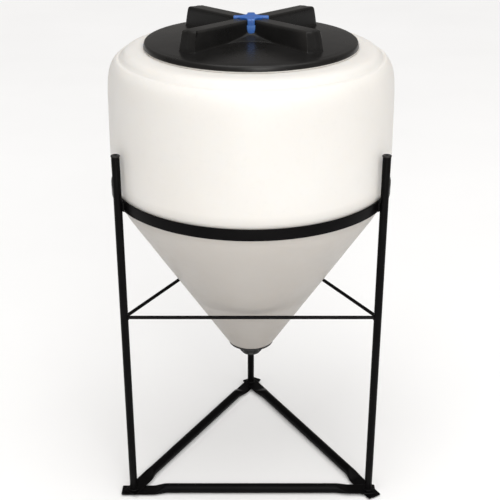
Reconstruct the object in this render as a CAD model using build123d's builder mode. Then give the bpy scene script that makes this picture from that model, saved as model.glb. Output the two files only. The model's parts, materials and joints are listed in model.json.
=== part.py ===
from build123d import *
import math
import os

# Conical fermenter: a cone-bottom tank with a screw lid, standing in a three-leg steel stand.
# Millimetres. The origin is on the tank's axis at floor level, +Z up, +Y towards the rear leg.

os.makedirs("parts", exist_ok=True)

# ---- stand ----
hoop_top = 583.0
hoop_height = 19.05
hoop_thick = 3.175
hoop_inner_r = 239.1
leg_r = 6.85
leg_wall = 2.2
leg_above_hoop = 78.5
leg_centre_r = 251.85
pad_width = 9.0
pad_height = 16.0
pad_reach = 246.6
leg_angles = {"leg_left": 210, "leg_right": -30, "leg_rear": 90}
bar_r = 8.95
bar_wall = 1.1
flat_width = 26.5
flat_thick = 2.4
flat_length = 34.0
flat_taper = 30.0
flat_long_end = 22.0
flat_short_end = 13.0
rod_r = 3.1
rod_below_hoop = 214.0
plug_depth = 12.0
plug_dish = 1.0
plug_head_r = 7.7
plug_head_height = 2.4

# ---- tank ----
tank_r = 241.3
wall = 4.5
shoulder_z = hoop_top + 227.5
mouth_r = 172.5
collar_depth = 32.0
step_r = 216.0
groove_r = 221.0
knuckle_r = 160.0
cone_top_z = hoop_top - 18.0
tip_r = 41.5
tip_z = hoop_top - 326.0
tip_wall = 6.0

# ---- outlet ----
bore_r = 12.1
shank_r = 17.5
shank_hole_r = 17.9
flange_r = 30.0
flange_thick = 6.0
gasket_thick = 2.0
washer_r = 41.0
washer_thick = 3.0
nut_top_r = 26.5
nut_bottom_r = 20.5
nut_height = 19.0
shank_below_nut = 4.0

# ---- lid ----
lid_r = 178.0
rim_bottom_z = hoop_top + 230.3
rim_top_z = hoop_top + 238.8
plate_thick = 4.5
crown_z = hoop_top + 246.0
arm_top_z = hoop_top + 276.0
arm_reach_top = 137.0
arm_reach_base = 143.0
arm_half_top = 13.5
arm_half_base = 16.5
arm_wall = 4.0
skirt_outer_r = 156.9
skirt_thick = 4.0
skirt_depth = 25.2
gasket_gap = 0.1
well_r = 20.0
vent_seat_r = 30.0

# ---- vent ----
vent_hole_r = 12.4
vent_tube_r = 12.0
vent_bore_r = 9.0
vent_flange_r = 17.5
vent_flange_thick = 3.0
vent_gasket_thick = 1.2
vent_tube_top = hoop_top + 262.0
vent_tube_bottom = hoop_top + 232.0
seat_hole_r = 5.0
poppet_r = 7.5
poppet_thick = 2.0
poppet_stem_r = 2.4
guide_r = 2.5
vent_travel = 3.0
cap_reach = 29.0
cap_arm_half = 7.2
cap_hub_r = 18.4
cap_top_z = hoop_top + 277.2
cap_skirt_z = hoop_top + 253.0
spring_r = 5.0
spring_wire = 0.45
spring_turns = 4


def save(piece, label):
    """Name a finished part and write its STEP file."""
    piece.part.label = label
    export_step(piece.part, f"parts/{label}.step")
    return piece.part


def polar(radius, degrees, z=0.0):
    """A point at a radius and an angle about the tank's axis."""
    a = math.radians(degrees)
    return Vector(radius * math.cos(a), radius * math.sin(a), z)


def ring(inner_r, outer_r, bottom_z, top_z):
    """A plain ring about the tank's axis."""
    with BuildPart() as body:
        with BuildSketch(Plane.XY.offset(bottom_z)):
            Circle(outer_r)
            Circle(inner_r, mode=Mode.SUBTRACT)
        extrude(amount=top_z - bottom_z)
    return body


# ---------------------------------------------------------------- stand

hoop_outer_r = hoop_inner_r + hoop_thick
low_flat_z = 3.0
high_flat_z = low_flat_z + flat_thick
leg_foot_z = high_flat_z + flat_thick
leg_top_z = hoop_top + leg_above_hoop

with BuildPart() as hoop_band:
    with BuildSketch(Plane.XY.offset(hoop_top - hoop_height)):
        Circle(hoop_outer_r)
        Circle(hoop_inner_r, mode=Mode.SUBTRACT)
    extrude(amount=hoop_height)
    fillet(hoop_band.edges(), radius=0.5)
    for pad_angle in leg_angles.values():
        pad_plane = Plane(origin=polar(hoop_outer_r - 0.6, pad_angle, hoop_top - hoop_height / 2),
                          x_dir=polar(1, pad_angle + 90), z_dir=polar(1, pad_angle))
        with BuildSketch(pad_plane):
            Rectangle(pad_width, pad_height)
        extrude(amount=pad_reach - hoop_outer_r + 0.6)
        with BuildSketch(Plane(origin=polar(leg_centre_r, pad_angle, hoop_top - hoop_height))):
            Circle(leg_r + 0.02)
        extrude(amount=hoop_height, mode=Mode.SUBTRACT)
save(hoop_band, "hoop_band")

for leg_name, leg_angle in leg_angles.items():
    foot = polar(leg_centre_r, leg_angle, leg_foot_z)
    with BuildPart() as leg:
        with BuildSketch(Plane(origin=foot)):
            Circle(leg_r)
            Circle(leg_r - leg_wall, mode=Mode.SUBTRACT)
        extrude(amount=leg_top_z - leg_foot_z)
    save(leg, leg_name)

plug_points = [polar(leg_centre_r, angle, leg_top_z) for angle in leg_angles.values()]
with BuildPart() as leg_plugs:
    with Locations(*[point - Vector(0, 0, plug_depth) for point in plug_points]):
        Cylinder(leg_r - leg_wall, plug_depth, align=(Align.CENTER, Align.CENTER, Align.MIN))
    with Locations(*plug_points):
        Cylinder(plug_head_r, plug_head_height, align=(Align.CENTER, Align.CENTER, Align.MIN))
    with Locations(*[point + Vector(0, 0, plug_head_height) for point in plug_points]):
        Cone(leg_r * 0.35, leg_r * 0.6, plug_dish, mode=Mode.SUBTRACT,
             align=(Align.CENTER, Align.CENTER, Align.MAX))
save(leg_plugs, "leg_plugs")

rod_z = hoop_top - rod_below_hoop
rod_gap = leg_r + 0.02
leg_span = leg_centre_r * math.sqrt(3)
sides = {"front": (210, -30), "left": (90, 210), "right": (-30, 90)}

for side_name, (start_angle, end_angle) in sides.items():
    start = polar(leg_centre_r, start_angle, rod_z)
    end = polar(leg_centre_r, end_angle, rod_z)
    along = (end - start).normalized()
    with BuildPart() as rod:
        with BuildSketch(Plane(origin=start + along * rod_gap, z_dir=along)):
            Circle(rod_r)
        extrude(amount=leg_span - 2 * rod_gap)
    save(rod, f"tie_rod_{side_name}")


def flat_end(plane, bottom_z, direction, reach):
    """One pressed-flat end of a floor bar: the round tube squeezed down to a flat, then the flat."""
    flat_at = leg_span / 2 - flat_length
    flat_mid_z = bottom_z + flat_thick / 2
    with BuildPart() as end_piece:
        for part_way in (0.0, 0.35, 0.7, 1.0):
            eased = part_way * part_way * (3 - 2 * part_way)
            half_wide = bar_r + (flat_width / 2 - bar_r) * eased
            half_high = bar_r + (flat_thick / 2 - bar_r) * eased
            mid_z = bar_r + (flat_mid_z - bar_r) * eased
            with BuildSketch(plane.offset(direction * (flat_at - flat_taper * (1 - part_way)))):
                with Locations((0, mid_z)):
                    Ellipse(half_wide, half_high)
        loft()
        with BuildSketch(plane.offset(direction * (flat_at - 5.0))):
            with Locations((0, flat_mid_z)):
                Rectangle(flat_width, flat_thick)
        extrude(amount=direction * (flat_length + reach + 5.0))
    return end_piece.part


for side_name, (start_angle, end_angle) in sides.items():
    start = polar(leg_centre_r, start_angle)
    end = polar(leg_centre_r, end_angle)
    along = (end - start).normalized()
    across = Vector(0, 0, 1).cross(along)
    middle = Plane(origin=(start + end) / 2, x_dir=across, z_dir=along)
    half_tube = leg_span / 2 - flat_length - flat_taper
    long_end = flat_end(middle, low_flat_z, -1, flat_long_end)
    short_end = flat_end(middle, high_flat_z, 1, flat_short_end)
    with BuildPart() as bar:
        with BuildSketch(middle.offset(-half_tube)):
            with Locations((0, bar_r)):
                Circle(bar_r)
                Circle(bar_r - bar_wall, mode=Mode.SUBTRACT)
        extrude(amount=2 * half_tube)
        add(long_end)
        add(short_end)
    save(bar, f"base_bar_{side_name}")


# ---------------------------------------------------------------- tank

cone_run = tank_r - tip_r
cone_drop = cone_top_z - tip_z
cone_slope = math.atan2(cone_run, cone_drop)
knuckle_tangent = knuckle_r * math.tan(cone_slope / 2)
knuckle_start = Vector(tank_r, cone_top_z + knuckle_tangent)
knuckle_end = Vector(tank_r - knuckle_tangent * math.sin(cone_slope),
                     cone_top_z - knuckle_tangent * math.cos(cone_slope))
corner_start = Vector(tank_r - 1.8, hoop_top + 165.0)

with BuildSketch(Plane.XZ) as tank_outside:
    with BuildLine():
        shoulder = Line((0, shoulder_z), (194.0, shoulder_z))
        brow = ThreePointArc((194.0, shoulder_z), (207.5, shoulder_z - 3.2), (step_r + 2.0, hoop_top + 216.5))
        dip = ThreePointArc((step_r + 2.0, hoop_top + 216.5), (groove_r - 0.6, hoop_top + 214.0),
                            (groove_r + 3.5, hoop_top + 211.5))
        corner = ThreePointArc((groove_r + 3.5, hoop_top + 211.5), (235.8, hoop_top + 193.0),
                               (corner_start.X, corner_start.Y))
        side_wall = Line((corner_start.X, corner_start.Y), (knuckle_start.X, knuckle_start.Y))
        knuckle = TangentArc((knuckle_start.X, knuckle_start.Y), (knuckle_end.X, knuckle_end.Y), tangent=(0, -1))
        cone_line = Line((knuckle_end.X, knuckle_end.Y), (tip_r, tip_z))
        tip_flat = Line((tip_r, tip_z), (0, tip_z))
        Line((0, tip_z), (0, shoulder_z))
    make_face()

with BuildSketch(Plane.XZ) as tank_inside:
    with BuildLine():
        Line((0, shoulder_z - wall), (193.4, shoulder_z - wall))
        ThreePointArc((193.4, shoulder_z - wall), (205.6, shoulder_z - wall - 3.0), (214.5, hoop_top + 212.6))
        ThreePointArc((214.5, hoop_top + 212.6), (217.4, hoop_top + 210.2), (221.2, hoop_top + 207.6))
        ThreePointArc((221.2, hoop_top + 207.6), (231.4, hoop_top + 190.8), (corner_start.X - wall, corner_start.Y))
        Line((corner_start.X - wall, corner_start.Y), (tank_r - wall, knuckle_start.Y))
        inner_tip_r = tip_r + tip_wall * math.tan(cone_slope) - wall / math.cos(cone_slope)
        inner_shift = wall * (1 - math.cos(cone_slope)) / math.sin(cone_slope)
        knuckle_in = Vector(knuckle_end.X - wall * math.cos(cone_slope), knuckle_end.Y + wall * math.sin(cone_slope))
        TangentArc((tank_r - wall, knuckle_start.Y), (knuckle_in.X, knuckle_in.Y), tangent=(0, -1))
        Line((knuckle_in.X, knuckle_in.Y), (inner_tip_r, tip_z + tip_wall))
        Line((inner_tip_r, tip_z + tip_wall), (0, tip_z + tip_wall))
        Line((0, tip_z + tip_wall), (0, shoulder_z - wall))
    make_face()

with BuildPart() as tank_shell:
    add(tank_outside.sketch)
    revolve(axis=Axis.Z)
    add(tank_inside.sketch)
    revolve(axis=Axis.Z, mode=Mode.SUBTRACT)
    with BuildSketch(Plane.XY.offset(shoulder_z - collar_depth)):
        Circle(mouth_r + wall)
    extrude(amount=collar_depth)
    with BuildSketch(Plane.XY.offset(shoulder_z - collar_depth)):
        Circle(mouth_r)
    extrude(amount=collar_depth + 1.0, mode=Mode.SUBTRACT)
    with BuildSketch(Plane.XY.offset(tip_z - 1.0)):
        Circle(shank_hole_r)
    extrude(amount=tip_wall + 2.0, mode=Mode.SUBTRACT)
save(tank_shell, "tank_shell")


# ---------------------------------------------------------------- outlet

tip_floor = tip_z + tip_wall
shank_bottom = tip_z - washer_thick - nut_height - shank_below_nut

save(ring(shank_r + 0.3, flange_r, tip_floor, tip_floor + gasket_thick), "outlet_gasket")
save(ring(shank_r + 0.3, washer_r, tip_z - washer_thick, tip_z), "outlet_washer")

with BuildPart() as outlet_body:
    with BuildSketch(Plane.XY.offset(shank_bottom)):
        Circle(shank_r)
    extrude(amount=tip_floor + gasket_thick - shank_bottom)
    with BuildSketch(Plane.XY.offset(tip_floor + gasket_thick)):
        RegularPolygon(flange_r, 6)
        Circle(flange_r - 3.0)
    extrude(amount=flange_thick)
    with BuildSketch(Plane.XY.offset(shank_bottom - 1.0)):
        Circle(bore_r)
    extrude(amount=60.0, mode=Mode.SUBTRACT)
save(outlet_body, "outlet_body")

with BuildPart() as outlet_nut:
    with BuildSketch(Plane.XY.offset(tip_z - washer_thick)) as nut_top:
        Circle(nut_top_r)
    with BuildSketch(Plane.XY.offset(tip_z - washer_thick - nut_height)) as nut_bottom:
        Circle(nut_bottom_r)
    loft()
    with BuildSketch(Plane.XY.offset(tip_z - washer_thick)):
        with PolarLocations(nut_top_r + 2.0, 12):
            Circle(3.2)
    extrude(amount=-nut_height, mode=Mode.SUBTRACT)
    with BuildSketch(Plane.XY.offset(tip_z - washer_thick)):
        Circle(shank_r + 0.1)
    extrude(amount=-nut_height, mode=Mode.SUBTRACT)
save(outlet_nut, "outlet_nut")


# ---------------------------------------------------------------- lid

gasket_inner_r = mouth_r + 0.8
gasket_outer_r = lid_r - 1.0
gasket_top = rim_bottom_z - gasket_gap
plate_under = hoop_top + 235.6

skirt_inner_r = skirt_outer_r - skirt_thick

save(ring(gasket_inner_r, gasket_outer_r, shoulder_z + 0.3, gasket_top), "lid_gasket")

with BuildPart() as lid:
    with BuildSketch(Plane.XZ):
        with BuildLine():
            Polyline((0, crown_z), (vent_seat_r, crown_z), (60.0, crown_z - 0.6), (120.0, crown_z - 2.2),
                     (lid_r - 8.0, rim_top_z))
            ThreePointArc((lid_r - 8.0, rim_top_z), (lid_r - 1.6, rim_top_z - 3.6), (lid_r, rim_bottom_z))
            Polyline((lid_r, rim_bottom_z), (lid_r - 4.0, rim_bottom_z), (lid_r - 4.8, plate_under),
                     (skirt_outer_r, plate_under), (skirt_outer_r, plate_under - skirt_depth),
                     (skirt_inner_r, plate_under - skirt_depth), (skirt_inner_r, plate_under),
                     (120.0, crown_z - 2.2 - plate_thick),
                     (60.0, crown_z - 0.6 - plate_thick), (vent_seat_r, crown_z - plate_thick),
                     (0, crown_z - plate_thick), (0, crown_z))
        make_face()
    revolve(axis=Axis.Z)
    for turn in (45, 135):
        arm_plane = Plane(origin=(0, 0, crown_z - 5.0), x_dir=polar(1, turn), z_dir=(0, 0, 1))
        with BuildSketch(arm_plane):
            Rectangle(2 * arm_reach_base, 2 * arm_half_base)
        with BuildSketch(arm_plane.offset(arm_top_z - crown_z + 5.0)):
            Rectangle(2 * arm_reach_top, 2 * arm_half_top)
        loft()
    for turn in (45, 135, 225, 315):
        hollow_bottom = Plane(origin=(0, 0, crown_z - 12.0), x_dir=polar(1, turn), z_dir=(0, 0, 1))
        hollow_mid = (well_r + 5.0 + arm_reach_top) / 2
        hollow_run = arm_reach_top - well_r - 5.0 - arm_wall * 2
        with BuildSketch(hollow_bottom):
            with Locations((hollow_mid, 0)):
                Rectangle(hollow_run + 6.0, 2 * (arm_half_base - arm_wall))
        with BuildSketch(hollow_bottom.offset(arm_top_z - arm_wall - crown_z + 12.0)):
            with Locations((hollow_mid - 1.0, 0)):
                Rectangle(hollow_run, 2 * (arm_half_top - arm_wall))
        loft(mode=Mode.SUBTRACT)
    with BuildSketch(Plane.XY.offset(crown_z)):
        Circle(well_r)
    extrude(amount=arm_top_z - crown_z + 1.0, mode=Mode.SUBTRACT)
    with BuildSketch(Plane.XY.offset(cap_skirt_z - 1.0)):
        Rectangle(2 * cap_reach + 2.0, 2 * cap_arm_half + 1.6)
        Rectangle(2 * cap_arm_half + 1.6, 2 * cap_reach + 2.0)
    extrude(amount=arm_top_z - cap_skirt_z + 2.0, mode=Mode.SUBTRACT)
    with BuildSketch(Plane.XY.offset(crown_z - 20.0)):
        Circle(vent_hole_r)
    extrude(amount=40.0, mode=Mode.SUBTRACT)
    with BuildSketch(Plane.XY.offset(crown_z - plate_thick)):
        Circle(well_r + 4.0)
    extrude(amount=-8.0, mode=Mode.SUBTRACT)
save(lid, "lid")


# ---------------------------------------------------------------- vent

plate_top = crown_z
plate_bottom = crown_z - plate_thick
flange_bottom = plate_top + vent_gasket_thick
flange_top = flange_bottom + vent_flange_thick
seat_top = flange_bottom + 1.5
poppet_bottom = seat_top + 0.2
poppet_top = poppet_bottom + poppet_thick

save(ring(vent_hole_r + 0.2, vent_flange_r, plate_top, flange_bottom), "vent_gasket")

with BuildPart() as vent_body:
    with BuildSketch(Plane.XY.offset(vent_tube_bottom)):
        Circle(vent_tube_r)
    extrude(amount=vent_tube_top - vent_tube_bottom)
    with BuildSketch(Plane.XY.offset(flange_bottom)):
        Circle(vent_flange_r)
    extrude(amount=vent_flange_thick)
    with BuildSketch(Plane.XY.offset(seat_top)):
        Circle(vent_bore_r)
    extrude(amount=vent_tube_top - seat_top + 1.0, mode=Mode.SUBTRACT)
    with BuildSketch(Plane.XY.offset(vent_tube_bottom - 1.0)):
        Circle(vent_bore_r)
    extrude(amount=seat_top - 2.0 - vent_tube_bottom + 1.0, mode=Mode.SUBTRACT)
    with BuildSketch(Plane.XY.offset(seat_top - 4.0)):
        Circle(seat_hole_r)
    extrude(amount=6.0, mode=Mode.SUBTRACT)
    with BuildSketch(Plane.XY.offset(flange_top + 3.0)):
        with PolarLocations(vent_tube_r, 4, start_angle=45):
            Rectangle(8.0, 6.0)
    extrude(amount=5.0, mode=Mode.SUBTRACT)
save(vent_body, "vent_body")

save(ring(vent_tube_r + 0.1, vent_flange_r - 1.0, plate_bottom - 6.0, plate_bottom), "vent_retainer")

cap_floor = vent_tube_top + 0.2
with BuildPart() as vent_cap:
    with BuildSketch(Plane.XY.offset(cap_skirt_z)):
        Rectangle(2 * cap_reach, 2 * cap_arm_half)
        Rectangle(2 * cap_arm_half, 2 * cap_reach)
    extrude(amount=cap_top_z - cap_skirt_z)
    with BuildSketch(Plane.XY.offset(cap_skirt_z - 1.0)):
        Circle(cap_hub_r)
    extrude(amount=cap_floor - cap_skirt_z + 1.0, mode=Mode.SUBTRACT)
    with BuildSketch(Plane.XY.offset(cap_floor)):
        Circle(cap_hub_r)
    extrude(amount=cap_top_z - cap_floor)
    fillet(vent_cap.faces().sort_by(Axis.Z)[-1].edges(), radius=1.2)
    with BuildSketch(Plane.XY.offset(cap_floor)):
        Circle(vent_bore_r - 0.1)
        Circle(guide_r, mode=Mode.SUBTRACT)
    extrude(amount=-4.0)
    with BuildSketch(Plane.XY.offset(cap_floor - 5.0)):
        Circle(guide_r)
    extrude(amount=11.0, mode=Mode.SUBTRACT)
save(vent_cap, "vent_cap")

guide_bottom = cap_floor - 4.0
with BuildPart() as vent_poppet:
    with BuildSketch(Plane.XY.offset(poppet_bottom)):
        Circle(poppet_r)
    extrude(amount=poppet_thick)
    with BuildSketch(Plane.XY.offset(poppet_top)):
        Circle(poppet_stem_r)
    extrude(amount=guide_bottom + 3.0 - poppet_top)
save(vent_poppet, "vent_poppet")

spring_bottom = poppet_top + spring_wire + 0.05
spring_height = guide_bottom - spring_bottom - spring_wire - 0.05
with BuildPart() as vent_spring:
    with BuildLine():
        coil = Helix(pitch=spring_height / spring_turns, height=spring_height, radius=spring_r,
                     center=(0, 0, spring_bottom))
    with BuildSketch(Plane(origin=coil @ 0, z_dir=coil % 0)):
        Circle(spring_wire)
    sweep()
save(vent_spring, "vent_spring")
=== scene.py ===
import bpy
import bmesh
import json
import math
import random
from mathutils import Vector, Matrix


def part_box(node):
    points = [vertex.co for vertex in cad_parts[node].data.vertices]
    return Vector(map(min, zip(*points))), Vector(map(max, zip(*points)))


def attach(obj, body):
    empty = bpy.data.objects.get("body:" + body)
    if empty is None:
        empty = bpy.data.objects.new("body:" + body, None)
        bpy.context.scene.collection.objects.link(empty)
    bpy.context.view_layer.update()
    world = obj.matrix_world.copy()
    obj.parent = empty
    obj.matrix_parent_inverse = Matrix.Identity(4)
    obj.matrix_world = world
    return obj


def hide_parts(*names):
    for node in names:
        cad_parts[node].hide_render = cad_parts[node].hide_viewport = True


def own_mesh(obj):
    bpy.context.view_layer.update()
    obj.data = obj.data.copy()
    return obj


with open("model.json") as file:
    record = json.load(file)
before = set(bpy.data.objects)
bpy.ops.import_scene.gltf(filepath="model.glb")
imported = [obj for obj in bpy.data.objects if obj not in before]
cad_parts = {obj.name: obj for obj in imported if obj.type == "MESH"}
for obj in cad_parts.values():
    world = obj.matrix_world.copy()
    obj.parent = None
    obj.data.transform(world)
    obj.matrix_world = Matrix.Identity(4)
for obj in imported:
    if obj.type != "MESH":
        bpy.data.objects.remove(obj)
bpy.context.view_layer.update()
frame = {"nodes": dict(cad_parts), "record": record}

MM = 0.001
TAU = 2 * math.pi

# ------------------------------------------------------------------ places taken from the frame

hoop_low, hoop_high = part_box("hoop_band")
hoop_top = hoop_high.z
hoop_bottom = hoop_low.z
hoop_outer = -hoop_low.y
tank_low, tank_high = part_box("tank_shell")
tip_z = tank_low.z
shoulder_z = tank_high.z
tank_r = tank_high.x
leg_box = {n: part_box(n) for n in ("leg_left", "leg_right", "leg_rear")}
leg_r = (leg_box["leg_rear"][1].x - leg_box["leg_rear"][0].x) / 2
leg_top = leg_box["leg_rear"][1].z
leg_foot = leg_box["leg_rear"][0].z
leg_ring = leg_box["leg_rear"][1].y - leg_r
drain_r = frame["record"]["mounts"][0]["dims"]["r_mm"] * MM
LEG_ANGLES = {"leg_left": 210, "leg_right": -30, "leg_rear": 90}


# ------------------------------------------------------------------ mesh helpers

def polar(radius, degrees, z=0.0):
    """A point at a radius and an angle about the tank's axis."""
    a = math.radians(degrees)
    return Vector((radius * math.cos(a), radius * math.sin(a), z))


def to_object(name, verts, faces, smooth=True):
    """A mesh object from lists of vertices and faces, with its normals turned outwards."""
    mesh = bpy.data.meshes.new(name)
    mesh.from_pydata([tuple(v) for v in verts], [], faces)
    bm = bmesh.new()
    bm.from_mesh(mesh)
    bmesh.ops.remove_doubles(bm, verts=bm.verts, dist=2e-6)
    bmesh.ops.recalc_face_normals(bm, faces=bm.faces)
    bm.to_mesh(mesh)
    bm.free()
    obj = bpy.data.objects.new(name, mesh)
    bpy.context.scene.collection.objects.link(obj)
    for poly in mesh.polygons:
        poly.use_smooth = smooth
    return obj


def sharpen(obj, degrees=35):
    """Smooth shading that keeps edges sharper than an angle."""
    obj.data.set_sharp_from_angle(angle=math.radians(degrees))
    return obj


def lathe(name, profile, segments=128, closed=True, wobble=None):
    """Turn (radius, height) points about the tank's axis. A closed profile makes a solid ring."""
    verts, faces = [], []
    count = len(profile)
    for i in range(segments):
        a = TAU * i / segments
        for j, (r, z) in enumerate(profile):
            extra = wobble(a, r, z) if wobble else 0.0
            verts.append(((r + extra) * math.cos(a), (r + extra) * math.sin(a), z))
    last = count if closed else count - 1
    for i in range(segments):
        k = (i + 1) % segments
        for j in range(last):
            n = (j + 1) % count
            faces.append((i * count + j, k * count + j, k * count + n, i * count + n))
    return to_object(name, verts, faces)


def rounded(points, radius, steps=4, closed=True):
    """Round the corners of a flat outline of (a, b) points. A point may carry its own radius."""
    out = []
    count = len(points)
    for i, p in enumerate(points):
        r = p[2] if len(p) > 2 else radius
        here = Vector(p[:2])
        if not closed and i in (0, count - 1) or r <= 0:
            out.append((here.x, here.y))
            continue
        before = Vector(points[i - 1][:2]) - here
        after = Vector(points[(i + 1) % count][:2]) - here
        cut = min(r, before.length * 0.49, after.length * 0.49)
        start = here + before.normalized() * cut
        end = here + after.normalized() * cut
        for s in range(steps + 1):
            t = s / steps
            q = start * (1 - t) ** 2 + here * 2 * t * (1 - t) + end * t ** 2
            out.append((q.x, q.y))
    return out


def loft(name, rings, cap_start=True, cap_end=True, closed=True):
    """Join rings of equally many points, one after another."""
    verts = [v for ring in rings for v in ring]
    n = len(rings[0])
    faces = []
    for i in range(len(rings) - 1):
        for j in range(n if closed else n - 1):
            k = (j + 1) % n
            faces.append((i * n + j, i * n + k, (i + 1) * n + k, (i + 1) * n + j))
    if cap_start:
        faces.append(tuple(range(n)))
    if cap_end:
        faces.append(tuple(range((len(rings) - 1) * n, len(rings) * n)))
    return to_object(name, verts, faces)


def tube(name, points, radius, sides=16, closed=False, radii=None):
    """A round wire along points."""
    rings = []
    count = len(points)
    up = Vector((0, 0, 1))
    for i, p in enumerate(points):
        before = points[i - 1] if i or closed else points[0]
        after = points[(i + 1) % count] if i < count - 1 or closed else points[-1]
        along = (after - before).normalized()
        side = along.cross(up)
        if side.length < 1e-4:
            side = along.cross(Vector((1, 0, 0)))
        side.normalize()
        over = side.cross(along).normalized()
        r = radii[i] if radii else radius
        rings.append([p + side * r * math.cos(TAU * s / sides) + over * r * math.sin(TAU * s / sides)
                      for s in range(sides)])
    if closed:
        rings.append(rings[0])
    return loft(name, rings, cap_start=not closed, cap_end=not closed)


def join(name, parts):
    """Several meshes as one piece."""
    bm = bmesh.new()
    for part in parts:
        bm.from_mesh(part.data)
    mesh = bpy.data.meshes.new(name)
    bm.to_mesh(mesh)
    bm.free()
    for part in parts:
        old = part.data
        bpy.data.objects.remove(part)
        bpy.data.meshes.remove(old)
    obj = bpy.data.objects.new(name, mesh)
    bpy.context.scene.collection.objects.link(obj)
    for poly in mesh.polygons:
        poly.use_smooth = True
    return obj


# ------------------------------------------------------------------ material helpers

def new_material(name):
    """A material with a bare Principled shader."""
    mat = bpy.data.materials.new(name)
    mat.use_nodes = True
    tree = mat.node_tree
    shader = tree.nodes["Principled BSDF"]
    return mat, tree, shader


def noise_node(tree, scale, detail=4.0, roughness=0.55, stretch=(1, 1, 1), offset=(0, 0, 0)):
    """Noise in the object's own frame."""
    coords = tree.nodes.new("ShaderNodeTexCoord")
    mapping = tree.nodes.new("ShaderNodeMapping")
    mapping.inputs["Scale"].default_value = stretch
    mapping.inputs["Location"].default_value = offset
    tree.links.new(coords.outputs["Object"], mapping.inputs["Vector"])
    tex = tree.nodes.new("ShaderNodeTexNoise")
    tex.inputs["Scale"].default_value = scale
    tex.inputs["Detail"].default_value = detail
    tex.inputs["Roughness"].default_value = roughness
    tree.links.new(mapping.outputs["Vector"], tex.inputs["Vector"])
    return tex.outputs["Fac"]


def ramp(tree, value, stops):
    """A colour ramp from (position, colour) stops."""
    node = tree.nodes.new("ShaderNodeValToRGB")
    elements = node.color_ramp.elements
    while len(elements) > len(stops):
        elements.remove(elements[-1])
    while len(elements) < len(stops):
        elements.new(0.5)
    for element, (position, colour) in zip(elements, stops):
        element.position = position
        element.color = (*colour, 1)
    tree.links.new(value, node.inputs["Fac"])
    return node.outputs["Color"]


def to_range(tree, value, low, high, start=0.0, end=1.0):
    """Map a value's span onto another."""
    node = tree.nodes.new("ShaderNodeMapRange")
    node.inputs["From Min"].default_value = start
    node.inputs["From Max"].default_value = end
    node.inputs["To Min"].default_value = low
    node.inputs["To Max"].default_value = high
    tree.links.new(value, node.inputs["Value"])
    return node.outputs["Result"]


def bump(tree, shader, heights):
    """Bump from (height, strength, distance) layers, laid over each other."""
    normal = None
    for height, strength, distance in heights:
        node = tree.nodes.new("ShaderNodeBump")
        node.inputs["Strength"].default_value = strength
        node.inputs["Distance"].default_value = distance
        tree.links.new(height, node.inputs["Height"])
        if normal:
            tree.links.new(normal, node.inputs["Normal"])
        normal = node.outputs["Normal"]
    tree.links.new(normal, shader.inputs["Normal"])


def mix_colour(tree, factor, a, b, mode="MIX"):
    """Blend two colours by a factor socket. Either colour may be a socket or a value."""
    node = tree.nodes.new("ShaderNodeMix")
    node.data_type = "RGBA"
    node.blend_type = mode
    if isinstance(factor, (int, float)):
        node.inputs["Factor"].default_value = factor
    else:
        tree.links.new(factor, node.inputs["Factor"])
    for value, socket in ((a, node.inputs["A"]), (b, node.inputs["B"])):
        if isinstance(value, tuple):
            socket.default_value = (*value, 1)
        else:
            tree.links.new(value, socket)
    return node.outputs["Result"]


def object_z(tree):
    """Height in the frame, in metres."""
    coords = tree.nodes.new("ShaderNodeTexCoord")
    split = tree.nodes.new("ShaderNodeSeparateXYZ")
    tree.links.new(coords.outputs["Object"], split.inputs["Vector"])
    return split.outputs["Z"]


def edge_pointiness(tree):
    """A value above a half on outward edges, and below it in hollows."""
    return tree.nodes.new("ShaderNodeNewGeometry").outputs["Pointiness"]


# ------------------------------------------------------------------ materials

def make_polyethylene():
    """Natural rotomoulded polyethylene: milky, a little translucent, with a soft sheen, and painted shade darkening
    the cone towards its tip.
    """
    mat, tree, shader = new_material("natural_polyethylene")
    cloud = noise_node(tree, 5.0, 3.0, 0.5)
    fine = noise_node(tree, 90.0, 3.0, 0.6)
    skin = noise_node(tree, 420.0, 2.0, 0.5)
    tone = ramp(tree, cloud, [(0.3, (0.75, 0.712, 0.664)), (0.55, (0.77, 0.735, 0.69)),
                              (0.75, (0.79, 0.76, 0.72))])
    # painted shade: the colour darkens from just above the hoop down to the tip, where the cone faces down, away
    # from the lights
    height = to_range(tree, object_z(tree), 0.0, 1.0, tip_z, hoop_top + 0.02)
    shade = ramp(tree, height, [(0.0, (0.475, 0.465, 0.46)), (0.86, (0.645, 0.636, 0.63)), (1.0, (1, 1, 1))])
    tone_with_painted_shade = mix_colour(tree, 1.0, tone, shade, "MULTIPLY")
    speck = ramp(tree, fine, [(0.0, (0.93, 0.93, 0.93)), (0.45, (1, 1, 1)), (1.0, (1, 1, 1))])
    tree.links.new(mix_colour(tree, 0.6, tone_with_painted_shade, speck, "MULTIPLY"), shader.inputs["Base Color"])
    tree.links.new(to_range(tree, fine, 0.38, 0.50, 0.3, 0.7), shader.inputs["Roughness"])
    shader.inputs["IOR"].default_value = 1.5
    shader.inputs["Specular IOR Level"].default_value = 0.42
    shader.inputs["Subsurface Weight"].default_value = 0.35
    shader.inputs["Subsurface Radius"].default_value = (0.9, 0.75, 0.6)
    shader.inputs["Subsurface Scale"].default_value = 0.02
    bump(tree, shader, [(cloud, 0.25, 0.004), (fine, 0.10, 0.0004), (skin, 0.08, 0.0001)])
    return mat


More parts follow.
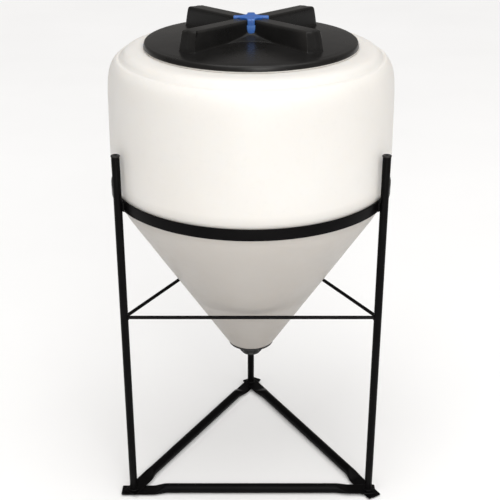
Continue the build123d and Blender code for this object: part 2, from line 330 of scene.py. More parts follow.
def make_black_plastic(name, base=(0.0065, 0.0062, 0.006), rough=(0.24, 0.34), grain=900.0, wear=True):
    """Satin moulded black plastic with a fine grain and slightly rubbed edges."""
    mat, tree, shader = new_material(name)
    broad = noise_node(tree, 14.0, 4.0, 0.6)
    fine = noise_node(tree, grain, 2.0, 0.5)
    light = tuple(min(1.0, c * 1.6 + 0.002) for c in base)
    tone = mix_colour(tree, to_range(tree, broad, 0.0, 1.0, 0.35, 0.75), base, light)
    if wear:
        pale_edges = to_range(tree, edge_pointiness(tree), 0.0, 0.6, 0.51, 0.60)
        tone = mix_colour(tree, pale_edges, tone, (0.034, 0.032, 0.030))
    tree.links.new(tone, shader.inputs["Base Color"])
    tree.links.new(to_range(tree, broad, rough[0], rough[1], 0.3, 0.7), shader.inputs["Roughness"])
    shader.inputs["Specular IOR Level"].default_value = 0.21
    bump(tree, shader, [(broad, 0.06, 0.002), (fine, 0.16, 0.00012)])
    return mat


def make_blue_plastic():
    """Satin blue plastic, with a painted highlight: paler blue on its outward edges."""
    mat, tree, shader = new_material("blue_plastic")
    broad = noise_node(tree, 60.0, 3.0, 0.55)
    fine = noise_node(tree, 1100.0, 2.0, 0.5)
    tone = mix_colour(tree, to_range(tree, broad, 0.0, 1.0, 0.3, 0.7),
                      (0.018, 0.092, 0.36), (0.030, 0.125, 0.44))
    # painted highlight: outward edges are mixed towards a pale blue
    pale_edges = to_range(tree, edge_pointiness(tree), 0.0, 0.7, 0.51, 0.58)
    tree.links.new(mix_colour(tree, pale_edges, tone, (0.11, 0.26, 0.62)), shader.inputs["Base Color"])
    tree.links.new(to_range(tree, broad, 0.30, 0.42, 0.3, 0.7), shader.inputs["Roughness"])
    bump(tree, shader, [(fine, 0.12, 0.0001)])
    return mat


def make_black_steel():
    """Black powder coat on steel: a fine orange-peel skin, a soft sheen and faint rubbed edges."""
    mat, tree, shader = new_material("black_steel")
    broad = noise_node(tree, 22.0, 4.0, 0.6)
    peel = noise_node(tree, 520.0, 3.0, 0.55)
    tone = mix_colour(tree, to_range(tree, broad, 0.0, 1.0, 0.35, 0.7),
                      (0.0016, 0.0014, 0.0016), (0.0030, 0.0027, 0.0029))
    pale_edges = to_range(tree, edge_pointiness(tree), 0.0, 0.5, 0.52, 0.62)
    tree.links.new(mix_colour(tree, pale_edges, tone, (0.020, 0.0195, 0.019)), shader.inputs["Base Color"])
    tree.links.new(to_range(tree, peel, 0.30, 0.42, 0.3, 0.7), shader.inputs["Roughness"])
    shader.inputs["Specular IOR Level"].default_value = 0.055
    bump(tree, shader, [(peel, 0.22, 0.00025)])
    return mat


def make_rubber(name, low, high):
    """Matte rubber with a fine dusty grain."""
    mat, tree, shader = new_material(name)
    broad = noise_node(tree, 40.0, 4.0, 0.6)
    fine = noise_node(tree, 1200.0, 2.0, 0.5)
    tone = mix_colour(tree, to_range(tree, broad, 0.0, 1.0, 0.35, 0.7), low, high)
    tree.links.new(tone, shader.inputs["Base Color"])
    tree.links.new(to_range(tree, fine, 0.62, 0.78, 0.3, 0.7), shader.inputs["Roughness"])
    bump(tree, shader, [(fine, 0.2, 0.0001)])
    return mat


def make_wire():
    """Drawn spring steel, with fine lines round the wire."""
    mat, tree, shader = new_material("spring_steel")
    fine = noise_node(tree, 900.0, 3.0, 0.5, stretch=(1, 1, 6))
    tone = ramp(tree, fine, [(0.3, (0.42, 0.42, 0.43)), (0.7, (0.62, 0.62, 0.63))])
    tree.links.new(tone, shader.inputs["Base Color"])
    shader.inputs["Metallic"].default_value = 1.0
    tree.links.new(to_range(tree, fine, 0.22, 0.36, 0.3, 0.7), shader.inputs["Roughness"])
    bump(tree, shader, [(fine, 0.15, 0.0001)])
    return mat


MATERIALS = {
    "natural_polyethylene": make_polyethylene(),
    "black_plastic": make_black_plastic("black_plastic"),
    "blue_plastic": make_blue_plastic(),
    "black_steel": make_black_steel(),
    "rubber": make_rubber("rubber", (0.010, 0.010, 0.010), (0.020, 0.020, 0.020)),
    "clear_silicone": make_rubber("clear_silicone", (0.62, 0.60, 0.56), (0.70, 0.69, 0.66)),
    "spring_steel": make_wire(),
}


def finish_piece(obj, body, slot_name, *nodes):
    """Give a piece its body and its material, and hide the CAD nodes it stands for."""
    obj.data.materials.clear()
    obj.data.materials.append(MATERIALS[slot_name])
    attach(obj, body)
    if nodes:
        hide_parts(*nodes)
    return obj


# ------------------------------------------------------------------ tank

def blend_points(points, steps=6):
    """A smooth open curve through (radius, height) points."""
    out = []
    count = len(points)
    for i in range(count - 1):
        p0 = Vector(points[max(i - 1, 0)])
        p1 = Vector(points[i])
        p2 = Vector(points[i + 1])
        p3 = Vector(points[min(i + 2, count - 1)])
        for s in range(steps):
            t = s / steps
            q = 0.5 * ((2 * p1) + (p2 - p0) * t + (2 * p0 - 5 * p1 + 4 * p2 - p3) * t ** 2
                       + (3 * p1 - p0 - 3 * p2 + p3) * t ** 3)
            out.append((q.x, q.y))
    out.append(tuple(points[-1]))
    return out


MOUTH_R = 172.5 * MM
TIP_R = 41.5 * MM
SHANK_HOLE_R = 17.9 * MM
TIP_WALL = 6.0 * MM
cone_slope = math.atan2(tank_r - TIP_R, (hoop_top - 18 * MM) - tip_z)


def tank_outline():
    """The outside of the tank from the mouth's edge down to the flat tip, in millimetres above the hoop."""
    top = [(176.4, 227.5), (179.0, 227.5), (184.0, 227.4), (194.0, 227.0), (201.5, 225.9), (207.5, 223.9),
           (212.2, 220.6), (215.4, 217.2), (217.6, 214.9), (219.6, 213.7),
           (221.6, 213.4), (223.8, 212.6), (227.0, 209.6),
           (230.8, 204.6), (234.0, 198.2), (236.4, 190.6), (237.9, 182.0), (238.7, 173.0)]
    wall = [(239.5, 160.0), (240.0, 140.0), (240.5, 110.0), (240.9, 80.0), (241.2, 50.0)]
    knuckle_r = 160.0
    slope = cone_slope
    tangent = knuckle_r * math.tan(slope / 2)
    start = -18.0 + tangent
    arc = []
    for s in range(17):
        a = slope * s / 16
        arc.append((241.3 - knuckle_r * (1 - math.cos(a)), start - knuckle_r * math.sin(a)))
    cone = []
    r0, z0 = arc[-1]
    r1, z1 = 44.56, -321.28
    for s in range(1, 15):
        t = s / 14
        cone.append((r0 + (r1 - r0) * t, z0 + (z1 - z0) * t))
    tip = [(43.0, -323.4), (41.2, -325.0), (38.6, -326.0)]
    return top, wall, arc, cone, tip


def offset_inwards(points, distance):
    """Move an outline to its inner side by a distance."""
    out = []
    for i, p in enumerate(points):
        a = Vector(points[max(i - 1, 0)])
        b = Vector(points[min(i + 1, len(points) - 1)])
        along = (b - a).normalized()
        inwards = Vector((along.y, -along.x))
        q = Vector(p) + inwards * distance
        out.append((q.x, q.y))
    return out


def make_tank():
    top, wall, arc, cone, tip = tank_outline()
    skin = blend_points(top + wall, 4) + arc + cone
    outer = [(r * MM, hoop_top + z * MM) for r, z in skin + tip]
    inner = [(r * MM, hoop_top + z * MM) for r, z in offset_inwards(skin, 4.5)]
    bottom_in = [(TIP_R - 1.5 * MM, tip_z + TIP_WALL + 1.6 * MM), (TIP_R - 4 * MM, tip_z + TIP_WALL),
                 (SHANK_HOLE_R, tip_z + TIP_WALL), (SHANK_HOLE_R, tip_z)]
    collar_low = shoulder_z - 32 * MM
    collar = [(MOUTH_R + 4.6 * MM, shoulder_z - 6.5 * MM), (MOUTH_R + 4.5 * MM, collar_low + 1.2 * MM),
              (MOUTH_R + 3.2 * MM, collar_low), (MOUTH_R + 1.2 * MM, collar_low), (MOUTH_R, collar_low + 1.2 * MM),
              (MOUTH_R, shoulder_z - 2.2 * MM), (MOUTH_R + 0.7 * MM, shoulder_z - 0.7 * MM),
              (MOUTH_R + 2.2 * MM, shoulder_z)]
    inner = [p for p in inner if p[0] > MOUTH_R + 9 * MM or p[1] < hoop_top + 150 * MM]
    inner = [p for p in inner if p[1] > tip_z + TIP_WALL + 1.7 * MM]
    profile = outer + [(SHANK_HOLE_R + 1 * MM, tip_z)] + bottom_in[::-1] + inner[::-1] + collar

    def hand(a, r, z):
        """A rotomoulded wall is never quite round."""
        if r < MOUTH_R + 6 * MM or z < tip_z + 30 * MM:
            return 0.0
        return 0.00012 * math.sin(3 * a + 0.7) - 0.00016 + 0.00006 * math.sin(7 * a + z * 30)

    body = lathe("tank_body", profile, 224, wobble=hand)
    return sharpen(body, 50)


def ridge(name, radius, low, pitch, turns, rise, width, inwards, steps=96):
    """One screw ridge on a round wall, running out to nothing at both ends."""
    rings = []
    count = int(turns * steps)
    for i in range(count + 1):
        a = TAU * i / steps
        fade = min(1.0, min(i, count - i) / (steps * 0.08))
        tall = rise * fade
        z = low + pitch * i / steps
        side = -1 if inwards else 1
        foot = radius - side * 0.3 * MM
        points = [(foot, z - width / 2), (radius + side * tall * 0.2, z - width / 2),
                  (radius + side * tall, z - width * 0.2), (radius + side * tall, z + width * 0.2),
                  (radius + side * tall * 0.2, z + width / 2), (foot, z + width / 2)]
        rings.append([(r * math.cos(a), r * math.sin(a), h) for r, h in points])
    return loft(name, rings)


tank = make_tank()
finish_piece(tank, "tank", "natural_polyethylene", "tank_shell")
neck_thread = join("neck_thread", [
    ridge("neck_ridge", MOUTH_R, shoulder_z - 18.1 * MM, 8 * MM, 1.6, 8.4 * MM, 4.2 * MM, True)])
sharpen(neck_thread, 40)
finish_piece(neck_thread, "tank", "natural_polyethylene")


# ------------------------------------------------------------------ lid

CROWN = hoop_top + 246 * MM
SKIRT_R = 156.9 * MM
GASKET_R = 173.3 * MM
PLATE_UNDER = hoop_top + 235.6 * MM
VENT_HOLE_R = 12.4 * MM
GRIP_SKEW = -3.3 * MM
GRIP_WELL = 20.0 * MM


def disc_height(r):
    """The height of the lid's crowned top at a radius."""
    flat = 30 * MM
    if r < flat:
        return CROWN
    t = (r - flat) / (172 * MM - flat)
    return CROWN - 6.6 * MM * t ** 1.9


def make_lid_disc():
    """The crowned plate with its rolled rim, its skirt and the hole for the vent."""
    top = [(VENT_HOLE_R, CROWN), (20 * MM, CROWN)]
    radii = [30, 42, 54, 66, 78, 90, 102, 114, 126, 138, 148, 156, 163, 168]
    top += [(r * MM, disc_height(r * MM)) for r in radii]
    rim = [(171.2, 239.0), (173.2, 238.9), (174.8, 238.5), (176.0, 237.6), (176.7, 236.2),
           (177.3, 233.8), (177.9, 231.8), (178.0, 230.9),
           (177.5, 230.3), (175.4, 230.3), (174.6, 230.8), (174.0, 232.2), (173.3, 234.6), (172.0, 235.6)]
    rim = [(r * MM, hoop_top + z * MM) for r, z in rim]
    skirt_low = PLATE_UNDER - 25.2 * MM
    skirt = [(SKIRT_R + 0.8 * MM, PLATE_UNDER), (SKIRT_R, PLATE_UNDER - 0.8 * MM), (SKIRT_R, skirt_low + 1 * MM),
             (SKIRT_R - 1 * MM, skirt_low), (SKIRT_R - 3 * MM, skirt_low), (SKIRT_R - 4 * MM, skirt_low + 1 * MM),
             (SKIRT_R - 4 * MM, PLATE_UNDER - 1 * MM), (SKIRT_R - 6 * MM, PLATE_UNDER + 0.8 * MM)]
    under = [(r * MM, disc_height(r * MM) - 4.5 * MM) for r in (120, 90, 60, 30)]
    under += [(20 * MM, CROWN - 4.5 * MM), (VENT_HOLE_R, CROWN - 4.5 * MM)]
    return lathe("lid_disc", top + rim + skirt + under, 192)


def grip_outline(half, reach, web, corner, skew, per_arm=40):
    """The outline of a four-arm cross: arm half-width, arm reach, web radius between arms, end corner radius.

    It starts on the +X side and runs anticlockwise; each quarter has the same number of points."""
    out = []
    inner = half * math.sqrt(2)
    centre = inner + web * math.sqrt(2)
    for quarter in range(4):
        turn = math.radians(90 * quarter)
        along = Vector((math.cos(turn + math.pi / 4), math.sin(turn + math.pi / 4)))
        side = Vector((-along.y, along.x))
        mirror = 1 if quarter % 2 == 0 else -1
        # from the web on the clockwise side, out along the arm, round its end and back
        web_points = []
        steps = 10
        for s in range(steps + 1):
            a = math.radians(45 * s / steps)
            x = centre - web * math.cos(a)
            y = web * math.sin(a)
            web_points.append((x, y))
        first = [Vector((x * math.cos(turn) - y * math.sin(turn), x * math.sin(turn) + y * math.cos(turn)))
                 for x, y in web_points]
        tangent = (web_points[-1][0] + web_points[-1][1]) / math.sqrt(2)
        runs = [tangent + (reach - corner - tangent) * s / 8 for s in range(1, 9)]
        near = [along * d - side * half for d in runs]
        lean = skew * mirror
        end = []
        for s in range(1, 7):
            a = math.radians(90 * s / 6)
            d = reach - corner + corner * math.sin(a)
            w = half - corner + corner * math.cos(a)
            end.append(along * (d - lean) - side * w)
        middle = [along * (reach) + side * half * k for k in (-0.4, 0.0, 0.4)]
        far_end = []
        for s in range(1, 7):
            a = math.radians(90 * (6 - s) / 6)
            d = reach - corner + corner * math.sin(a)
            w = half - corner + corner * math.cos(a)
            far_end.append(along * (d + lean) + side * w)
        far = [along * d + side * half for d in reversed(runs)]
        last_turn = turn + math.pi / 2
        second = []
        for x, y in reversed(web_points[1:]):
            y = -y
            second.append(Vector((x * math.cos(last_turn) - y * math.sin(last_turn),
                                  x * math.sin(last_turn) + y * math.cos(last_turn))))
        out += first + near + end + middle + far_end + far + second
    return out


def make_grip():
    """The four-arm grip: one moulded cross whose arms are joined by hollow-curved webs."""
    levels = [
        # height above the plate, arm half-width, reach, web radius, end corner radius
        (-2.5, 18.0, 145.2, 66.0, 4.4), (-0.6, 16.9, 143.8, 62.0, 4.0), (0.5, 16.3, 143.0, 58.0, 3.8),
        (1.4, 15.95, 142.6, 52.0, 3.6), (2.6, 15.75, 142.3, 43.0, 3.5), (4.0, 15.6, 142.0, 33.0, 3.4),
        (5.6, 15.45, 141.7, 24.0, 3.3), (7.6, 15.3, 141.3, 17.0, 3.2), (10.5, 15.05, 140.7, 12.5, 3.2),
        (15.0, 14.7, 139.7, 10.0, 3.1), (20.0, 14.3, 138.7, 8.8, 3.0), (24.0, 14.0, 137.8, 8.2, 3.0),
        (25.8, 13.65, 137.2, 8.0, 2.9), (27.2, 12.95, 136.2, 8.2, 2.6), (28.1, 11.9, 134.9, 8.8, 2.3),
        (28.5, 10.6, 133.4, 9.6, 2.0)]
    rings = []
    for height, half, reach, web, corner in levels:
        share = max(0.0, min(1.0, height / 16.0))
        ring = []
        for p in grip_outline(half * MM, reach * MM, web * MM, corner * MM, GRIP_SKEW):
            plate = disc_height(p.length)
            ring.append(Vector((p.x, p.y, plate + (CROWN - plate) * share + height * MM)))
        rings.append(ring)
    outer = rings[-1]
    top = outer[0].z
    well = []
    for p in outer:
        r = min(GRIP_WELL, p.xy.length - 2.0 * MM)
        well.append(p.xy.normalized() * r)
    for k in (0.25, 0.5, 0.75, 0.96):
        rings.append([Vector((o.x + (w.x - o.x) * k, o.y + (w.y - o.y) * k, top)) for o, w in zip(outer, well)])
    for drop in (0.9, 20.0, 30.0):
        rings.append([Vector((w.x, w.y, top - drop * MM)) for w in well])
    return loft("grip", rings, cap_start=False, cap_end=False)


lid_body = join("lid_body", [make_lid_disc(), make_grip()])
sharpen(lid_body, 48)
finish_piece(lid_body, "lid", "black_plastic", "lid")
lid_thread = ridge("lid_thread", SKIRT_R, PLATE_UNDER - 22.2 * MM, 8 * MM, 1.4, 6.8 * MM, 4.0 * MM, False)
sharpen(lid_thread, 40)
finish_piece(lid_thread, "lid", "black_plastic")

gasket_low, gasket_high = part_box("lid_gasket")
gasket_profile = rounded([(GASKET_R, gasket_low.z), (gasket_high.x, gasket_low.z),
                          (gasket_high.x, gasket_high.z), (GASKET_R, gasket_high.z)], 0.5 * MM, 5)
lid_seal = lathe("lid_seal", gasket_profile, 160)
finish_piece(lid_seal, "lid_ring", "clear_silicone", "lid_gasket")


# ------------------------------------------------------------------ vent

cap_low, cap_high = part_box("vent_cap")
CAP_TOP = cap_high.z
CAP_FLOOR = hoop_top + 262.2 * MM
CAP_SKIRT = cap_low.z


def make_vent_cap():
    """The blue cross cap: four rounded arms on a filleted hub, each with a tapered gusset at its end."""
    parts = []
    levels = [
        # height, arm half-width, reach, web radius, corner radius, all in millimetres
        (CAP_FLOOR, 5.0, 28.2, 17.0, 2.0), (CAP_FLOOR + 1.0 * MM, 5.4, 28.5, 17.0, 2.2),
        (CAP_TOP - 3.2 * MM, 6.2, 28.9, 16.5, 2.6), (CAP_TOP - 1.6 * MM, 6.3, 28.95, 16.5, 2.7),
        (CAP_TOP - 0.8 * MM, 6.1, 28.7, 16.6, 2.6), (CAP_TOP - 0.2 * MM, 5.6, 28.1, 17.0, 2.4),
        (CAP_TOP, 4.8, 27.2, 17.5, 2.2)]
    rings = []
    turn = Matrix.Rotation(math.radians(45), 3, "Z")
    for z, half, reach, web, corner in levels:
        outline = grip_outline(half * MM, reach * MM, web * MM, corner * MM, 0.0)
        rings.append([turn @ Vector((p.x, p.y, z)) for p in outline])
    # the blind hole that the poppet's stem rises into
    pocket = [[p.xy.normalized().to_3d() * 2.6 * MM + Vector((0, 0, z)) for p in rings[0]]
              for z in (CAP_FLOOR + 5 * MM, CAP_FLOOR)]
    rings = pocket + rings
    outer = rings[-1]
    for k, drop in ((0.6, 0.0), (0.3, 0.25), (0.08, 0.3)):
        rings.append([Vector((p.x * k, p.y * k, CAP_TOP - drop * MM)) for p in outer])
    parts.append(loft("cap_top", rings, cap_start=True, cap_end=True))
    guide_low = CAP_FLOOR - 4 * MM
    parts.append(lathe("cap_guide", [(2.55 * MM, guide_low + 0.3 * MM), (2.9 * MM, guide_low), (8.5 * MM, guide_low),
                                     (8.8 * MM, guide_low + 0.3 * MM), (8.8 * MM, CAP_FLOOR + 0.3 * MM),
                                     (2.55 * MM, CAP_FLOOR + 0.3 * MM)], 48))
    for quarter in range(4):
        spin = Matrix.Rotation(math.radians(90 * quarter), 3, "Z")
        gusset = []
        for z, half, inner, reach in ((CAP_SKIRT, 4.0, 21.0, 27.4), (CAP_SKIRT + 0.7 * MM, 4.8, 20.2, 28.0),
                                      (CAP_SKIRT + 4 * MM, 5.7, 19.4, 28.4), (CAP_SKIRT + 8 * MM, 6.7, 18.8, 28.6),
                                      (CAP_FLOOR + 5 * MM, 7.0, 18.8, 28.75)):
            corners = [(inner * MM, -half * MM, 0.6 * MM), (reach * MM, -half * MM, 1.6 * MM),
                       (reach * MM, half * MM, 1.6 * MM), (inner * MM, half * MM, 0.6 * MM)]
            gusset.append([spin @ Vector((x, y, z)) for x, y in rounded(corners, 1 * MM, 4)])
        parts.append(loft("cap_gusset", gusset))
    return join("vent_cross", parts)


vent_cross = make_vent_cap()
sharpen(vent_cross, 50)
finish_piece(vent_cross, "lid", "blue_plastic", "vent_cap")

spring_low, spring_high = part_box("vent_spring")
SPRING_WIRE = 0.45 * MM
spring_mid = (spring_high.x - spring_low.x) / 2 - SPRING_WIRE
spring_points = []
SPRING_TURNS = 4.0
for i in range(161):
    t = i / 160
    a = TAU * SPRING_TURNS * t
    z = spring_low.z + SPRING_WIRE + (spring_high.z - spring_low.z - 2 * SPRING_WIRE) * t
    spring_points.append(Vector((spring_mid * math.cos(a), spring_mid * math.sin(a), z)))
coil = tube("vent_coil", spring_points, SPRING_WIRE, 10)
finish_piece(coil, "lid", "spring_steel", "vent_spring")
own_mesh(coil)


# ------------------------------------------------------------------ outlet

NUT_TOP = tip_z - 3 * MM
NUT_LOW = NUT_TOP - 19 * MM
washer_low, washer_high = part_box("outlet_washer")
washer_profile = rounded([(17.9 * MM, washer_low.z), (washer_high.x, washer_low.z),
                          (washer_high.x, washer_high.z), (17.9 * MM, washer_high.z)], 0.7 * MM, 4)
washer = lathe("outlet_ring", washer_profile, 128)
finish_piece(washer, "tank", "rubber", "outlet_washer")


def make_nut():
    """The tapered outlet nut, with grip ribs round its side and a rounded lower rim."""
    levels = [(NUT_TOP, 26.2, 0.0), (NUT_TOP - 0.8 * MM, 26.4, 0.0), (NUT_TOP - 3.2 * MM, 26.3, 0.0),
              (NUT_TOP - 3.8 * MM, 25.6, 1.0), (NUT_TOP - 9 * MM, 24.4, 1.0), (NUT_TOP - 15 * MM, 22.3, 1.0),
              (NUT_TOP - 17.2 * MM, 21.4, 0.6), (NUT_LOW + 0.7 * MM, 20.6, 0.0), (NUT_LOW, 19.6, 0.0)]
    sides = 180
    rings = []
    for z, r, rib in levels:
        ring = []
        for i in range(sides):
            a = TAU * i / sides
            wave = 0.5 - 0.5 * math.cos(12 * a)
            ring.append(Vector(((r - 1.1 * rib * wave ** 3) * MM * math.cos(a),
                                (r - 1.1 * rib * wave ** 3) * MM * math.sin(a), z)))
        rings.append(ring)
    inner = 17.7 * MM
    for z in (NUT_LOW, NUT_TOP):
        rings.append([Vector((inner * math.cos(TAU * i / sides), inner * math.sin(TAU * i / sides), z))
                      for i in range(sides)])
    rings.append(rings[0])
    return loft("outlet_collar", rings, cap_start=False, cap_end=False)


nut = sharpen(make_nut(), 40)
finish_piece(nut, "tank", "black_plastic", "outlet_nut")

body_low, body_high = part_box("outlet_body")
stub_profile = [(drain_r, body_low.z + 0.8 * MM), (drain_r + 0.8 * MM, body_low.z), (16.6 * MM, body_low.z),
                (17.4 * MM, body_low.z + 0.8 * MM), (17.4 * MM, body_high.z - 6 * MM),
                (29.4 * MM, body_high.z - 6 * MM),
                (29.9 * MM, body_high.z - 5.4 * MM), (29.9 * MM, body_high.z - 1.2 * MM),
                (28.7 * MM, body_high.z), (14.4 * MM, body_high.z), (drain_r, body_high.z - 2.3 * MM)]
stub = lathe("outlet_stub", stub_profile, 96)
outlet_stub = join("outlet_bulkhead", [stub])
sharpen(outlet_stub, 40)
finish_piece(outlet_stub, "tank", "black_plastic", "outlet_body")


# ------------------------------------------------------------------ stand

def make_hoop():
    """The flat band, rolled to a hoop, with softly dressed edges."""
    inner = 239.1 * MM
    profile = rounded([(inner, hoop_bottom), (hoop_outer, hoop_bottom), (hoop_outer, hoop_top), (inner, hoop_top)],
                      0.7 * MM, 4)
    parts = [lathe("hoop_ring", profile, 224)]
    for angle in LEG_ANGLES.values():
        out_dir, side_dir = polar(1, angle), polar(1, angle + 90)
        block = []
        for reach, half in ((hoop_outer - 0.6 * MM, 4.3), (hoop_outer + 2.2 * MM, 4.2), (leg_ring - 5.6 * MM, 3.6)):
            corners = rounded([(-half * MM, hoop_bottom + 2 * MM), (half * MM, hoop_bottom + 2 * MM),
                               (half * MM, hoop_top - 2 * MM), (-half * MM, hoop_top - 2 * MM)], 1 * MM, 3)
            block.append([out_dir * reach + side_dir * w + Vector((0, 0, z)) for w, z in corners])
        parts.append(loft("pad", block))
    return join("hoop", parts)


hoop = sharpen(make_hoop(), 50)
finish_piece(hoop, "stand", "black_steel", "hoop_band")


def make_leg(name, angle):
    """One leg: a tube whose top is open for its plug, with a slightly dressed end."""
    centre = polar(leg_ring, angle)
    outer, inner = leg_r, leg_r - 2.2 * MM
    profile = [(outer - 0.4 * MM, leg_foot), (outer, leg_foot + 0.5 * MM)]
    profile += [(outer, leg_foot + (leg_top - leg_foot) * k / 12) for k in range(1, 12)]
    profile += [(outer, leg_top - 0.8 * MM), (outer - 0.25 * MM, leg_top - 0.25 * MM), (outer - 0.8 * MM, leg_top),
                (inner, leg_top), (inner, leg_top - 12 * MM), (inner, leg_foot)]
    leg = lathe(name, profile, 40)
    leg.data.transform(Matrix.Translation(centre))
    return leg


for leg_node, angle in LEG_ANGLES.items():
    leg = make_leg(leg_node.replace("leg_", "post_"), angle)
    sharpen(leg, 40)
    finish_piece(leg, "stand", "black_steel", leg_node)

plug_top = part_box("leg_plugs")[1].z
plug_parts = []
for angle in LEG_ANGLES.values():
    head = 7.65 * MM
    profile = [(0.0003 * MM, plug_top - 1.5 * MM), (1.6 * MM, plug_top - 1.35 * MM), (3.0 * MM, plug_top - 0.9 * MM),
               (4.6 * MM, plug_top - 0.25 * MM), (5.6 * MM, plug_top), (6.7 * MM, plug_top - 0.15 * MM),
               (7.4 * MM, plug_top - 0.5 * MM), (head, plug_top - 1.0 * MM),
               (head, leg_top + 0.05 * MM), (leg_r - 2.25 * MM, leg_top),
               (leg_r - 2.25 * MM, leg_top - 11 * MM), (2.6 * MM, leg_top - 12 * MM),
               (0.0003 * MM, leg_top - 12 * MM)]
    plug = lathe("plug", profile, 40, closed=False)
    plug.data.transform(Matrix.Translation(polar(leg_ring, angle)))
    plug_parts.append(plug)
plugs = sharpen(join("post_plugs", plug_parts), 45)
finish_piece(plugs, "stand", "black_plastic", "leg_plugs")

SIDES = {"front": (210, -30), "left": (90, 210), "right": (-30, 90)}
rod_low, rod_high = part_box("tie_rod_front")
ROD_R = (rod_high.z - rod_low.z) / 2
ROD_Z = (rod_high.z + rod_low.z) / 2
BAR_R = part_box("base_bar_front")[1].z / 2
FLAT_WIDTH = 26.5 * MM
FLAT_THICK = 2.4 * MM
FLAT_LOW = 3.0 * MM
FLAT_LENGTH = 34 * MM
FLAT_TAPER = 30 * MM
LONG_END = 22 * MM
SHORT_END = 13 * MM


def bar_section(share, mid_z, cut=1.0):
    """A cross-section of a floor bar between its round (0) and its pressed flat (1), as (across, height)."""
    half_wide = BAR_R + (FLAT_WIDTH / 2 - BAR_R) * share
    half_high = BAR_R + (FLAT_THICK / 2 - BAR_R) * share
    power = 2.0 + 3.0 * share
    out = []
    for s in range(32):
        a = TAU * s / 32
        c, q = math.cos(a), math.sin(a)
        out.append((half_wide * cut * math.copysign(abs(c) ** (2 / power), c),
                    mid_z + half_high * math.copysign(abs(q) ** (2 / power), q)))
    return out


def make_bar(name, start_angle, end_angle):
    """One floor bar: a round tube whose two ends are pressed flat at different heights."""
    start = polar(leg_ring, start_angle)
    end = polar(leg_ring, end_angle)
    along = (end - start).normalized()
    across = Vector((0, 0, 1)).cross(along)
    middle = (start + end) / 2
    half = (end - start).length / 2
    low_mid = FLAT_LOW + FLAT_THICK / 2
    high_mid = low_mid + FLAT_THICK
    stations = []
    for direction, mid_z, reach in ((-1, low_mid, LONG_END), (1, high_mid, SHORT_END)):
        run = []
        flat_at = half - FLAT_LENGTH
        for s in range(13):
            t = s / 12
            share = t * t * (3 - 2 * t)
            run.append((flat_at - FLAT_TAPER * (1 - t), share, BAR_R + (mid_z - BAR_R) * share, 1.0))
        tip = half + reach
        run += [(flat_at + 12 * MM, 1, mid_z, 1.0), (half, 1, mid_z, 1.0), (tip - 2.2 * MM, 1, mid_z, 1.0),
                (tip - 1.1 * MM, 1, mid_z, 0.975), (tip - 0.3 * MM, 1, mid_z, 0.93), (tip, 1, mid_z, 0.88)]
        stations.append([(direction * x, share, z, cut) for x, share, z, cut in run])
    line = stations[0][::-1]
    inner_left, inner_right = line[-1][0], stations[1][0][0]
    for s in range(1, 10):
        line.append((inner_left + (inner_right - inner_left) * s / 10, 0, BAR_R, 1.0))
    line += stations[1]
    rings = []
    for x, share, mid_z, cut in line:
        rings.append([middle + along * x + across * w + Vector((0, 0, z))
                      for w, z in bar_section(share, mid_z, cut)])
    return loft(name, rings)


def make_rod(name, start_angle, end_angle):
    """One tie rod between two legs."""
    start = polar(leg_ring, start_angle, ROD_Z)
    end = polar(leg_ring, end_angle, ROD_Z)
    along = (end - start).normalized()
    start += along * leg_r * 0.8
    end -= along * leg_r * 0.8
    points = [start + (end - start) * s / 24 for s in range(25)]
    return tube(name, points, ROD_R, 20)


for side_name, (a0, a1) in SIDES.items():
    bar = make_bar("floor_bar_" + side_name, a0, a1)
    sharpen(bar, 50)
    finish_piece(bar, "stand", "black_steel", "base_bar_" + side_name)
    rod = make_rod("cross_rod_" + side_name, a0, a1)
    sharpen(rod, 50)
    finish_piece(rod, "stand", "black_steel", "tie_rod_" + side_name)


def bead(name, points, radius, seed, ripple=0.16):
    """A weld bead: a rippled, slightly uneven round along points, run out at both ends."""
    dice = random.Random(seed)
    count = len(points)
    radii = []
    for i in range(count):
        ends = min(1.0, 0.35 + min(i, count - 1 - i) / 3.0)
        radii.append(radius * ends * (1 + ripple * math.sin(i * 1.9 + seed) + dice.uniform(-0.06, 0.06)))
    return tube(name, points, radius, 12, radii=radii)


weld_parts = []
for number, (leg_node, angle) in enumerate(LEG_ANGLES.items()):
    centre = polar(leg_ring, angle)
    out_dir = centre.normalized()
    side_dir = Vector((-out_dir.y, out_dir.x, 0))
    for side in (-1, 1):
        foot = polar(hoop_outer + 2.0 * MM, angle + side * math.degrees(4.4 * MM / hoop_outer))
        run = [foot + Vector((0, 0, hoop_bottom + 1.5 * MM + (hoop_top - hoop_bottom - 3 * MM) * s / 16))
               for s in range(17)]
        weld_parts.append(bead("bead", run, 2.2 * MM, 10 + number * 2 + side))
    ring = []
    for s in range(33):
        a = TAU * s / 32
        ring.append(centre + Vector((math.cos(a), math.sin(a), 0)) * (leg_r + 0.6 * MM)
                    + Vector((0, 0, leg_foot + 0.7 * MM)))
    weld_parts.append(bead("bead", ring, 1.8 * MM, 40 + number))
for number, (a0, a1) in enumerate(SIDES.values()):
    start = polar(leg_ring, a0, ROD_Z)
    end = polar(leg_ring, a1, ROD_Z)
    along = (end - start).normalized()
    across = Vector((0, 0, 1)).cross(along)
    for spot, way in ((start, 1), (end, -1)):
        ring = []
        for s in range(25):
            a = TAU * s / 24
            ring.append(spot + along * way * (leg_r + 0.2 * MM) + across * math.cos(a) * (ROD_R + 0.5 * MM)
                        + Vector((0, 0, math.sin(a) * (ROD_R + 0.5 * MM))))
        weld_parts.append(bead("bead", ring, 1.2 * MM, 60 + number * 2 + way))
    # the upper flat is welded along its sides to the flat under it
    corner = polar(leg_ring, a1)
    for side in (-1, 1):
        run = [corner + along * (-15 + 22 * s / 14) * MM + across * side * (FLAT_WIDTH / 2 - 0.2 * MM)
               + Vector((0, 0, FLAT_LOW + FLAT_THICK + 0.3 * MM)) for s in range(15)]
        weld_parts.append(bead("bead", run, 1.3 * MM, 80 + number * 2 + side))
welds = join("weld_beads", weld_parts)
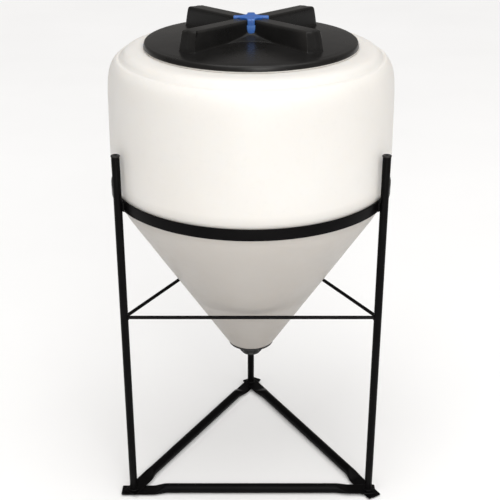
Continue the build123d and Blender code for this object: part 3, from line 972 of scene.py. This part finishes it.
finish_piece(welds, "stand", "black_steel")


# ------------------------------------------------------------------ CAD nodes that stay

KEPT = {"vent_body": "black_plastic", "vent_gasket": "rubber", "vent_retainer": "black_plastic",
        "vent_poppet": "black_plastic", "outlet_gasket": "rubber"}
for node, slot_name in KEPT.items():
    obj = frame["nodes"][node]
    if not obj.data.materials:
        obj.data.materials.append(None)
    for i in range(len(obj.data.materials)):
        obj.data.materials[i] = MATERIALS[slot_name]


# ------------------------------------------------------------------ floor, lights, camera

def make_floor():
    """A plain pale floor, a little below the object's lowest point."""
    half = 15.0
    mesh = bpy.data.meshes.new("floor")
    mesh.from_pydata([(-half, -half, 0), (half, -half, 0), (half, half, 0), (-half, half, 0)], [], [(0, 1, 2, 3)])
    floor = bpy.data.objects.new("floor", mesh)
    bpy.context.scene.collection.objects.link(floor)
    mat, tree, shader = new_material("floor_pale")
    broad = noise_node(tree, 1.5, 3.0, 0.5)
    tone = ramp(tree, broad, [(0.3, (0.925, 0.925, 0.925)), (0.7, (0.95, 0.95, 0.95))])
    tree.links.new(tone, shader.inputs["Base Color"])
    shader.inputs["Roughness"].default_value = 0.85
    mesh.materials.append(mat)
    floor.location.z = -0.0005
    return floor


make_floor()


def area_light(name, place, target, size, power, colour=(1, 1, 1), size_y=None):
    """A soft rectangular light aimed at a point."""
    data = bpy.data.lights.new(name, "AREA")
    data.shape = "RECTANGLE"
    data.size = size
    data.size_y = size_y or size
    data.energy = power
    data.color = colour
    light = bpy.data.objects.new(name, data)
    bpy.context.scene.collection.objects.link(light)
    light.location = place
    light.rotation_euler = (Vector(target) - Vector(place)).to_track_quat("-Z", "Y").to_euler()
    return light


CENTRE = (0, 0, 0.55)
area_light("key", (0.5, -2.6, 1.9), CENTRE, 1.1, 23, (1.0, 0.985, 0.96), 1.1)
area_light("top", (-0.1, 0.1, 2.3), (0, 0, 0.7), 0.9, 5)
area_light("low", (0.15, -2.4, 0.35), (0, 0, 0.85), 0.35, 4, (1.0, 0.98, 0.95))

sun_data = bpy.data.lights.new("sky", "SUN")
sun_data.energy = 2.5
sun_data.angle = math.radians(85)
sun = bpy.data.objects.new("sky", sun_data)
bpy.context.scene.collection.objects.link(sun)
sun.rotation_euler = Vector((-0.12, 0.45, -1.0)).to_track_quat("-Z", "Y").to_euler()

world = bpy.data.worlds.new("studio")
bpy.context.scene.world = world
world.use_nodes = True
world.node_tree.nodes["Background"].inputs["Color"].default_value = (1.0, 0.965, 0.93, 1)
world.node_tree.nodes["Background"].inputs["Strength"].default_value = 0.26
bpy.context.scene.view_settings.view_transform = "Standard"

camera_data = bpy.data.cameras.new("camera")
camera_data.sensor_width = 36
camera_data.lens = 75.24
camera_data.clip_start = 0.05
camera_data.clip_end = 60
camera = bpy.data.objects.new("camera", camera_data)
bpy.context.scene.collection.objects.link(camera)
camera.location = (-0.0018, -1.7137, hoop_top + 0.6382)
camera.rotation_euler = (math.radians(90 - 24.53), 0, 0)
bpy.context.scene.camera = camera
